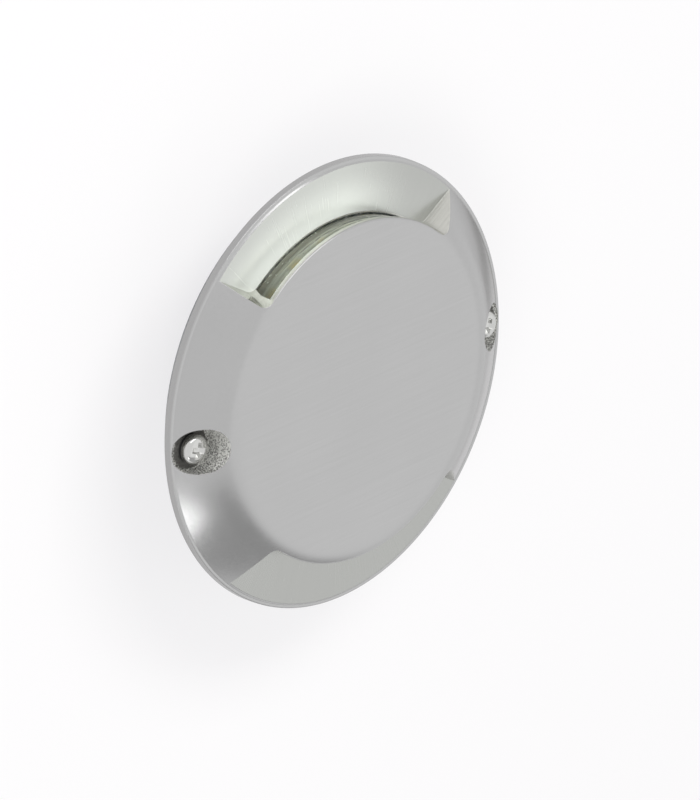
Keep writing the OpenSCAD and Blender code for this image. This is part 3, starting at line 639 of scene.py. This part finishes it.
# the trapped air reads as white specks on the frosted faces
specks = add(tree, "ShaderNodeMath", {"operation": "MULTIPLY"}, in0=bubbles.outputs[0],
             in1=inner.outputs[0])
white = add(tree, "ShaderNodeMix", COLOURS, Factor=specks.outputs[0], in6=tint.outputs[2],
            in7=linear("#F7FAF5"))
tree.links.new(white.outputs[2], shader.inputs["Base Color"])
through = add(tree, "ShaderNodeMapRange", in0=specks.outputs[0], in1=0.0, in2=1.0, in3=1.0, in4=0.15)
tree.links.new(through.outputs[0], shader.inputs["Transmission Weight"])
shader.inputs["IOR"].default_value = 1.52

cup = [(0, 27.4), (37.6, 27.4)] + arc((37.6, 26.6), 0.8, 90, 0, 5)
cup += [(38.4, 21.8), (41.2, 21.8), (41.3, 21.9)]
cup += arc((40.8, 27.8), 0.5, 0, 90, 6) + [(0, 28.3)]
lens = turned("glass_lens", cup, steps=240)
lens.data.materials.append(glass)
smoothed(lens, 35)
lens.visible_shadow = False
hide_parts("lens")
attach(lens, "housing")

# Soft rings: black nitrile washers below the cover screws, and grey silicone
# rings below and above the lens. They are punched from sheet and squeezed.


def moulded(name, dark, light, grain, roughness, relief, metallic=0.0):
    """Moulded, cast or plated stuff: two near shades in a fine grain. Grain and relief are in mm."""
    stuff = bpy.data.materials.new(name)
    stuff.use_nodes = True
    tree = stuff.node_tree
    shader = tree.nodes["Principled BSDF"]
    place = add(tree, "ShaderNodeTexCoord").outputs["Object"]
    fine = add(tree, "ShaderNodeTexNoise", Vector=place, Scale=1 / (grain * MM), Detail=4.0,
               Roughness=0.6)
    cloud = add(tree, "ShaderNodeTexNoise", Vector=place, Scale=70.0, Detail=2.0)
    both = add(tree, "ShaderNodeMath", {"operation": "MULTIPLY_ADD"}, in0=cloud.outputs["Fac"], in1=0.6,
               in2=fine.outputs["Fac"])
    tone = add(tree, "ShaderNodeValToRGB", Fac=both.outputs[0])
    for element, place_on, code in zip(tone.color_ramp.elements, (0.6, 0.98), (dark, light)):
        element.position, element.color = place_on, linear(code)
    rough = add(tree, "ShaderNodeMapRange", in0=both.outputs[0], in1=0.5, in2=1.1, in3=roughness + 0.06,
                in4=roughness - 0.06)
    bump = add(tree, "ShaderNodeBump", Height=fine.outputs["Fac"], Distance=relief * MM)
    tree.links.new(tone.outputs[0], shader.inputs["Base Color"])
    tree.links.new(rough.outputs[0], shader.inputs["Roughness"])
    tree.links.new(bump.outputs[0], shader.inputs["Normal"])
    shader.inputs["Metallic"].default_value = metallic
    return stuff


def dress(material, *names):
    """Gives CAD solids their finish."""
    for name in names:
        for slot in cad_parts[name].material_slots:
            slot.material = material


# Nitrile rubber: near black, dull, with a fine dusty grain
nitrile = moulded("black_nitrile_rubber", "#19191A", "#2B2B2C", 0.25, 0.6, 0.01)
dress(nitrile, "screw_washers", "gland_washer", "gland_seal", "vent_washer")
# Silicone rubber: pale grey with a soft shine
silicone = moulded("grey_silicone_rubber", "#A4A7A8", "#BFC2C2", 0.5, 0.45, 0.006)
dress(silicone, "top_gasket", "lens_seal")

# Housing: a shallow cup with a wide flange, die cast in aluminium in one
# piece. Four countersunk holes in the flange take the screws into the deck.

# Blasted cast aluminium: pale grey, dull, with a half-millimetre orange peel
dress(moulded("blasted_cast_aluminium", "#8B8E91", "#B4B6B8", 0.45, 0.46, 0.03, 1.0), "housing")

# Seat gasket: a flat ring of closed-cell rubber foam under the flange, with
# holes for the screws. It is punched from sheet and keeps water off the deck.

# Rubber foam: black, dull, pricked all over with cells of about half a millimetre
foam = moulded("black_rubber_foam", "#141415", "#303032", 0.5, 0.85, 0.05)
tree = foam.node_tree
place = add(tree, "ShaderNodeTexCoord").outputs["Object"]
cells = add(tree, "ShaderNodeTexVoronoi", Vector=place, Scale=2200.0)
pits = add(tree, "ShaderNodeBump", Height=cells.outputs["Distance"], Distance=0.15 * MM)
tree.links.new(pits.outputs[0], tree.nodes["Principled BSDF"].inputs["Normal"])
dress(foam, "seat_gasket")

# Light core: a solid turned aluminium disc that carries both light strips and
# takes their heat. Three plated pan head screws hold it on the housing.

# Turned aluminium: bright, with rings left by the tool every quarter of a millimetre
turned_metal = worked_metal("turned_aluminium", "#C4C6C8", 0.27, "rings", 0.25, 0.003, 0.5)
dress(turned_metal, "light_core")
# Zinc plated steel: slightly blue grey, satin
zinc = moulded("zinc_plated_steel", "#A9AEB4", "#CDD0D3", 0.3, 0.3, 0.004, 1.0)
dress(zinc, "core_screws", "board_screws", "terminal_screws")

# Reflector: a white moulded ring that lies on the housing inside the lens
# and throws the light outwards over the shelf.

# White PBT: clean white, half matt
white_plastic = moulded("white_pbt_plastic", "#E9E8E3", "#F4F3EF", 0.4, 0.42, 0.004)
dress(white_plastic, "reflector")

# Light strips: two flexible circuits with a white face, stuck round the core
# behind the windows. Gold-plated lands show between the emitters.

EMITTERS = 6
STRIP_SPAN = 88
# White solder mask on a thin film, with a pair of lands halfway between two emitters
film = moulded("white_circuit_film", "#E6E6E0", "#F2F2EE", 0.5, 0.45, 0.004)
tree = film.node_tree
shader = tree.nodes["Principled BSDF"]
xyz = add(tree, "ShaderNodeSeparateXYZ", Vector=add(tree, "ShaderNodeTexCoord").outputs["Object"]).outputs
turn = add(tree, "ShaderNodeMath", {"operation": "ARCTAN2"}, in0=xyz["X"], in1=xyz["Y"])
step = add(tree, "ShaderNodeMath", {"operation": "MULTIPLY"}, in0=turn.outputs[0],
           in1=EMITTERS / math.radians(STRIP_SPAN))
step = add(tree, "ShaderNodeMath", {"operation": "PINGPONG"}, in0=step.outputs[0], in1=0.5)
land = add(tree, "ShaderNodeMath", {"operation": "LESS_THAN"}, in0=step.outputs[0], in1=0.07)
high = add(tree, "ShaderNodeMath", {"operation": "MULTIPLY_ADD"}, in0=xyz["Z"], in1=1 / (1.6 * MM),
           in2=-23.7 / 1.6)
high = add(tree, "ShaderNodeMath", {"operation": "PINGPONG"}, in0=high.outputs[0], in1=0.5)
high = add(tree, "ShaderNodeMath", {"operation": "LESS_THAN"}, in0=high.outputs[0], in1=0.22)
land = add(tree, "ShaderNodeMath", {"operation": "MULTIPLY"}, in0=land.outputs[0], in1=high.outputs[0])
white_tone = shader.inputs["Base Color"].links[0].from_socket
face = add(tree, "ShaderNodeMix", COLOURS, Factor=land.outputs[0], in6=white_tone, in7=linear("#C9A04E"))
tree.links.new(face.outputs[2], shader.inputs["Base Color"])
tree.links.new(land.outputs[0], shader.inputs["Metallic"])
dress(film, "strip_upper", "strip_lower")

# Emitters: twelve surface-mounted light sources, six on each strip. Each is a
# white moulded frame filled with yellow phosphor, soldered at both ends.


def block(name, low, high, edge=0.0):
    """Rectangular blank between two corners in mm, its edges rounded if a size is given."""
    deselect()
    bpy.ops.mesh.primitive_cube_add(size=1, location=(0, 0, 0))
    piece = bpy.context.object
    piece.name = piece.data.name = name
    low, high = Vector(low) * MM, Vector(high) * MM
    bpy.ops.object.mode_set(mode="EDIT")
    bpy.ops.mesh.select_all(action="SELECT")
    bpy.ops.transform.resize(value=high - low)
    bpy.ops.transform.translate(value=(low + high) / 2)
    if edge:
        bpy.ops.mesh.bevel(offset=edge * MM, segments=3, affect="EDGES")
    bpy.ops.object.mode_set(mode="OBJECT")
    return piece


def joined(name, pieces):
    """Makes one piece of several."""
    make_active(pieces[0])
    for piece in pieces:
        piece.select_set(True)
    bpy.ops.object.join()
    pieces[0].name = pieces[0].data.name = name
    return pieces[0]


def copied(piece, move=(0, 0, 0), turn=0.0):
    """A copy with its own mesh, moved in mm or turned about the axis in degrees."""
    make_active(piece)
    bpy.ops.object.duplicate()
    twin = bpy.context.object
    bpy.ops.object.mode_set(mode="EDIT")
    bpy.ops.mesh.select_all(action="SELECT")
    bpy.ops.transform.rotate(value=-math.radians(turn), orient_axis="Z", center_override=(0, 0, 0))
    bpy.ops.transform.translate(value=Vector(move) * MM)
    bpy.ops.object.mode_set(mode="OBJECT")
    return twin


# Phosphor in clear silicone: warm yellow, smooth, a little cloudy
phosphor = moulded("yellow_phosphor_silicone", "#E2BE45", "#F2DA78", 0.15, 0.3, 0.006)
emitter = block("emitter", (35.43, -1.6, 23.1), (36.23, 1.6, 25.9))
emitter.data.materials.append(white_plastic)
emitter.data.materials.append(phosphor)
bpy.ops.object.mode_set(mode="EDIT")
bpy.ops.mesh.select_all(action="DESELECT")
shape = bmesh.from_edit_mesh(emitter.data)
for face in shape.faces:
    face.select_set(face.normal.x > 0.9)
bmesh.update_edit_mesh(emitter.data)
bpy.ops.mesh.inset(thickness=0.42 * MM)
bpy.ops.mesh.extrude_region_move(TRANSFORM_OT_translate={"value": (-0.16 * MM, 0, 0)})
bpy.ops.transform.resize(value=(1, 0.86, 0.86))
emitter.active_material_index = 1
bpy.ops.object.material_slot_assign()
bpy.ops.object.mode_set(mode="OBJECT")
bevel = emitter.modifiers.new("edges", "BEVEL")
bevel.width, bevel.segments, bevel.limit_method = 0.07 * MM, 2, "ANGLE"
make_active(emitter)
bpy.ops.object.modifier_apply(modifier="edges")
ends = []
for side in (-1, 1):
    low, high = sorted((side * 1.5, side * 1.78))
    end = block("solder", (35.42, low, 23.5), (35.75, high, 25.5), 0.1)
    end.data.materials.append(zinc)
    ends.append(end)
emitter = joined("emitter", [emitter] + ends)
for half, start in (("upper", 90), ("lower", -90)):
    turns = [start + ((i + 0.5) / EMITTERS - 0.5) * STRIP_SPAN for i in range(EMITTERS)]
    row = joined("emitter_row_" + half, [copied(emitter, turn=turn) for turn in turns])
    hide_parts("emitters_" + half)
    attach(row, "housing")
bpy.data.objects.remove(emitter)

# Leads: three insulated wires. Red and black rise from the board through the
# core's slots to the strips' ends, and a white one joins the two strips.

# PVC insulation: evenly coloured, half glossy, faintly rippled by the extruder
dress(moulded("red_pvc_insulation", "#A81F1C", "#C22B26", 0.8, 0.36, 0.01), "lead_red")
dress(moulded("black_pvc_insulation", "#161617", "#242425", 0.8, 0.36, 0.01), "lead_black")
dress(moulded("white_pvc_insulation", "#DEDDD8", "#EDECE8", 0.8, 0.36, 0.01), "lead_link")

# Driver board: a round glass-epoxy circuit board on three posts in the cup,
# green with fine tracks, held by small plated screws.
BOARD_TOP = 7.6

# Solder mask over copper: dark green, with raised tracks about 0.4 mm wide that read lighter
board_green = moulded("green_solder_mask", "#16502F", "#1D5F39", 0.3, 0.3, 0.003)
tree = board_green.node_tree
shader = tree.nodes["Principled BSDF"]
place = add(tree, "ShaderNodeTexCoord").outputs["Object"]
tracks = add(tree, "ShaderNodeTexBrick", {"offset": 0.35, "squash": 1.6}, Vector=place,
             Scale=1 / (4.0 * MM), Mortar_Size=0.05, Mortar_Smooth=0.0)
plain_green = shader.inputs["Base Color"].links[0].from_socket
face = add(tree, "ShaderNodeMix", COLOURS, Factor=tracks.outputs["Fac"], in6=plain_green,
           in7=linear("#3C8F5B"))
tree.links.new(face.outputs[2], shader.inputs["Base Color"])
raised = add(tree, "ShaderNodeBump", Height=tracks.outputs["Fac"], Distance=0.035 * MM)
tree.links.new(raised.outputs[0], shader.inputs["Normal"])
dress(board_green, "driver_board")

# Inductor: a dark ferrite drum with enamelled copper wire wound in its waist,
# glued on the board beside the chip.

# Ferrite: charcoal, dull ceramic. Enamelled copper: warm red-brown metal under clear enamel
ferrite = moulded("dark_ferrite_ceramic", "#292A2C", "#3D3F41", 0.2, 0.68, 0.01)
copper = moulded("enamelled_copper_wire", "#8E4420", "#C06A36", 0.3, 0.28, 0.004, 1.0)
CHOKE_FOOT = (-10.5, 5, 0)
drum = [(0, BOARD_TOP)] + arc((3.8, 7.8), 0.2, -90, 0, 3) + arc((3.8, 8.4), 0.2, 0, 90, 3)
drum += [(2.6, 8.6), (2.6, 11.6)]
drum += arc((3.8, 11.8), 0.2, -90, 0, 3) + arc((3.8, 12.4), 0.2, 0, 90, 3) + [(0, 12.6)]
drum = turned("ferrite_drum", drum, steps=48, foot=CHOKE_FOOT)
drum.data.materials.append(ferrite)
coil = [(2.6, 8.62)]
for i in range(7):
    coil += arc((3.35, 8.83 + i * 0.425), 0.21, -80, 80, 4)
coil = turned("copper_winding", coil + [(2.6, 11.58)], steps=48, foot=CHOKE_FOOT)
coil.data.materials.append(copper)
choke = joined("wound_choke", [drum, coil])
smoothed(choke, 40)
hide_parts("inductor")
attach(choke, "housing")

# Capacitors: two aluminium cans in shrunk blue sleeves, crimped above the
# rubber bung at the foot, with a scored cross on top.

# Shrunk PVC sleeve: deep blue, glossy
sleeve = moulded("blue_shrink_sleeve", "#1B3B76", "#25509A", 0.8, 0.3, 0.003)
CAN_X = -4
CAN_Y = 11.5
can = [(0, BOARD_TOP), (2.85, BOARD_TOP), (2.85, 7.9)] + arc((2.95, 8.1), 0.2, -90, 0, 3)
can += [(3.15, 8.8), (2.93, 9.0), (2.93, 9.15), (3.15, 9.35)]
can += arc((2.85, 15.3), 0.3, 0, 90, 5) + [(2.55, 15.6), (2.45, 15.5), (0, 15.5)]
can = turned("capacitor_can", can, steps=48, foot=(CAN_X, CAN_Y, 0))
can.data.materials.append(sleeve)
can.data.materials.append(turned_metal)
for face in can.data.polygons:
    out = (face.center.xy - Vector((CAN_X, CAN_Y)) * MM).length
    face.material_index = 1 if face.center.z > 15.45 * MM and out < 2.5 * MM else 0
scores = [block("score", (CAN_X - 1.6, CAN_Y - 0.08, 15.38), (CAN_X + 1.6, CAN_Y + 0.08, 15.7)),
          block("score", (CAN_X - 0.08, CAN_Y - 1.6, 15.38), (CAN_X + 0.08, CAN_Y + 1.6, 15.7))]
for score in scores:
    score.data.materials.append(turned_metal)
cut(can, *scores)
smoothed(can, 35)
cans = joined("sleeved_capacitors", [can, copied(can, move=(8, 0, 0))])
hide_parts("capacitors")
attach(cans, "housing")

# Driver chip and diode: black moulded packages on tinned legs, soldered flat
# on the board.

# Filled epoxy: black with a fine dull grain
epoxy = moulded("black_epoxy_resin", "#151618", "#28292C", 0.15, 0.55, 0.006)
legs = []
leg = [block("leg", (-2.1, 0.5, BOARD_TOP), (-1.7, 0.85, 7.78)),
       block("leg", (-2.1, 0.75, BOARD_TOP), (-1.7, 0.93, 8.5)),
       block("leg", (-2.1, 0.75, 8.34), (-1.7, 1.2, 8.52))]
for part in leg:
    part.data.materials.append(zinc)
leg = joined("leg", leg)
for i in range(4):
    near_leg = copied(leg, move=(i * 1.27, 0, 0))
    legs += [near_leg, copied(near_leg, turn=180)]
    make_active(legs[-1])
    bpy.ops.object.mode_set(mode="EDIT")
    bpy.ops.transform.translate(value=(0, 5 * MM, 0))
    bpy.ops.object.mode_set(mode="OBJECT")
bpy.data.objects.remove(leg)
body = block("chip_body", (-2.5, 1.0, 7.75), (2.5, 4.0, 9.2), 0.12)
dot = turned("pin_mark", [(0, 9.1), (0.3, 9.1), (0.3, 9.4), (0, 9.4)], steps=20, foot=(-2.0, 1.5, 0))
for part in (body, dot):
    part.data.materials.append(epoxy)
cut(body, dot)
chip = joined("chip_package", [body] + legs)
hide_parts("driver_chip")
body = block("diode_body", (7.5, 5.95, 7.75), (11.5, 8.45, 9.7), 0.15)
body.data.materials.append(epoxy)
tabs = []
for x in (7.25, 11.1):
    tab = block("tab", (x, 6.5, BOARD_TOP), (x + 0.65, 7.9, 8.6), 0.05)
    tab.data.materials.append(zinc)
    tabs.append(tab)
rectifier = joined("diode_package", [body] + tabs)
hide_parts("diode")
for piece in (chip, rectifier):
    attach(piece, "housing")

# Cable terminal: a green two-pole screw terminal at the board's edge, its
# mouths towards the cable gland.

# Moulded polyamide: leaf green, half matt
dress(moulded("green_polyamide", "#2A7544", "#379058", 0.5, 0.48, 0.006), "terminal_body")

# Cable gland: a threaded hollow body with its hexagon and locknut, and a dome
# nut that squeezes a rubber sleeve on the cable. All three are plated brass.

# Nickel plated brass: warm light grey metal, bright, with a very fine grain
nickel = moulded("nickel_plated_brass", "#A7A297", "#CBC7BD", 0.35, 0.24, 0.004, 1.0)
GLAND_Z = 8.2
GLAND_FLATS = 12


def hexagon_ring(name, near, far, bore):
    """Hexagon along the cable side, its corners chamfered, its bore open."""
    deselect()
    corner = GLAND_FLATS / 2 / math.cos(math.radians(30)) * MM
    bpy.ops.mesh.primitive_cylinder_add(vertices=6, radius=corner, depth=(far - near) * MM,
                                        location=(0, 0, 0))
    ring = bpy.context.object
    ring.name = ring.data.name = name
    bpy.ops.object.mode_set(mode="EDIT")
    bpy.ops.mesh.select_all(action="SELECT")
    bpy.ops.transform.rotate(value=math.radians(30), orient_axis="Z", center_override=(0, 0, 0))
    bpy.ops.transform.rotate(value=math.radians(90), orient_axis="X", center_override=(0, 0, 0))
    bpy.ops.transform.translate(value=(0, -(near + far) / 2 * MM, GLAND_Z * MM))
    bpy.ops.object.mode_set(mode="OBJECT")
    ring.data.materials.append(nickel)
    tools = []
    for end, back in ((near, 0.75), (far, -0.75)):
        beyond = end - back * 0.2
        tools.append([(5.9, beyond), (7.4, end + back), (7.8, end + back), (7.8, beyond), (5.9, beyond)])
    tools.append([(0, near - 1), (bore, near - 1), (bore, far + 1), (0, far + 1)])
    for outline in tools:
        tool = turned("tool", outline, steps=48, foot=(0, 0, GLAND_Z), axis=(0, -1, 0))
        tool.data.materials.append(nickel)
        cut(ring, tool)
    return ring


def thread(radius, depth, pitch, start, end):
    """Outline of a thread's ridges between two heights."""
    points = []
    for i in range(int((end - start) / pitch)):
        low = start + i * pitch
        points += [(radius - depth, low), (radius, low + pitch * 0.4), (radius, low + pitch * 0.6)]
    return points + [(radius - depth, end)]


tube = [(3.4, 23.6), (4.6, 23.6)] + thread(5, 0.35, 0.8, 23.9, 33.9)
tube += [(4.95, 34.2), (4.95, 38.4), (4.6, 38.6)]
tube += [(4.6, 44.7), (4.35, 45), (3.6, 45), (3.6, 39), (3.4, 39), (3.4, 23.6)]
tube = turned("gland_tube", tube, steps=64, foot=(0, 0, GLAND_Z), axis=(0, -1, 0))
tube.data.materials.append(nickel)
dome = [(4.75, 39.1), (5.95, 39.1), (5.95, 47.2)] + arc((3.6, 47.2), 2.35, 0, 62, 10)
dome += [(4.6, 49.7), (4.3, 50.0), (3.6, 50.1), (3.3, 49.9), (3.3, 47.0), (3.9, 46.9), (3.9, 45.3),
         (4.75, 45.2), (4.75, 39.1)]
dome = turned("gland_dome", dome, steps=64, foot=(0, 0, GLAND_Z), axis=(0, -1, 0))
dome.data.materials.append(nickel)
for name, pieces, body in (("gland_body", [tube, hexagon_ring("hexagon", 35, 39, 4.85)], "housing"),
                           ("gland_nut", [dome, hexagon_ring("hexagon", 39.1, 44.6, 5.8)], "gland_nut"),
                           ("gland_locknut", [hexagon_ring("hexagon", 24.6, 27, 5.05)], "housing")):
    piece = joined(name + "_brass", pieces)
    smoothed(piece, 30)
    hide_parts(name)
    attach(piece, body)

# Vent plug: a grey moulded plug opposite the gland that lets the cup breathe
# but keeps water out. It is screwed in with a coin slot.

# Glass-filled polyamide: mid grey, slightly rough
vent_grey = moulded("grey_glass_filled_polyamide", "#565A5D", "#6E7275", 0.3, 0.55, 0.01)
VENT_Z = 9
plug = [(0, 27.5), (2.2, 27.5)] + thread(2.5, 0.25, 0.6, 27.8, 32.8)
plug += [(2.5, 33.1), (3.85, 33.1), (4, 33.25), (4, 34.0)]
plug += arc((3.4, 34.0), 0.6, 20, 90, 5) + [(0, 34.6)]
plug = turned("vent_plug_body", plug, steps=64, foot=(0, 0, VENT_Z), axis=(0, 1, 0))
slot = block("coin_slot", (-4.5, 34.0, VENT_Z - 0.5), (4.5, 35, VENT_Z + 0.5))
for part in (plug, slot):
    part.data.materials.append(vent_grey)
cut(plug, slot)
smoothed(plug, 35)
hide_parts("vent_plug")
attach(plug, "housing")
